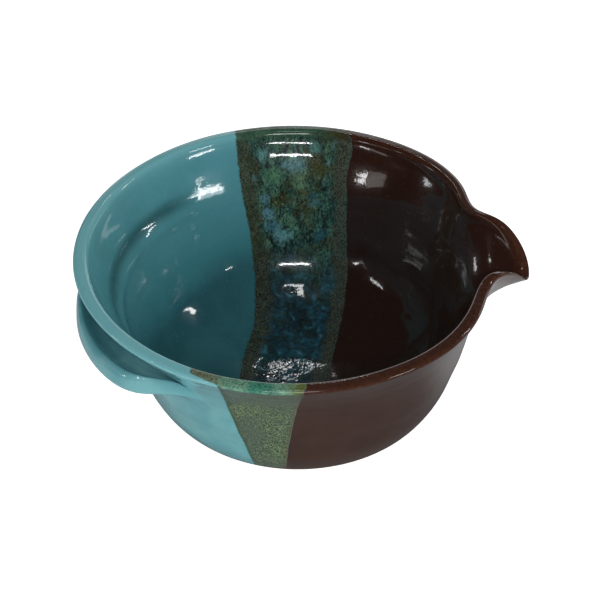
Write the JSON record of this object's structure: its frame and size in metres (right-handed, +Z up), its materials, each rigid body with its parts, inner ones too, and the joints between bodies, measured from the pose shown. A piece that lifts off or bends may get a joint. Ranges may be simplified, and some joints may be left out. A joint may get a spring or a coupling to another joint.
{
  "type": "batter bowl",
  "caption": "Deep open stoneware mixing bowl on a trimmed foot ring, with a pulled pouring lip and a ledge handle under the rim, glazed in two overlapping colours.",
  "frame": {"origin": "on the resting plane, under the middle of the bounding box of the whole bowl", "axes": "+Z up, +X towards the pouring lip; the ledge handle sits about 215 degrees round from +X, towards -X and -Y"},
  "size_m": [0.2278, 0.2222, 0.0946],
  "materials": {
    "bare_clay": "matte",
    "turquoise_glaze": "gloss",
    "green_band_glaze": "gloss",
    "brown_glaze": "gloss"
  },
  "bodies": {
    "root": {"bowl_body": "bare_clay", "handle": "bare_clay", "turquoise_glaze": "turquoise_glaze", "green_band_glaze": "green_band_glaze", "brown_glaze": "brown_glaze", "handle_glaze": "turquoise_glaze"}
  },
  "joints": []
}
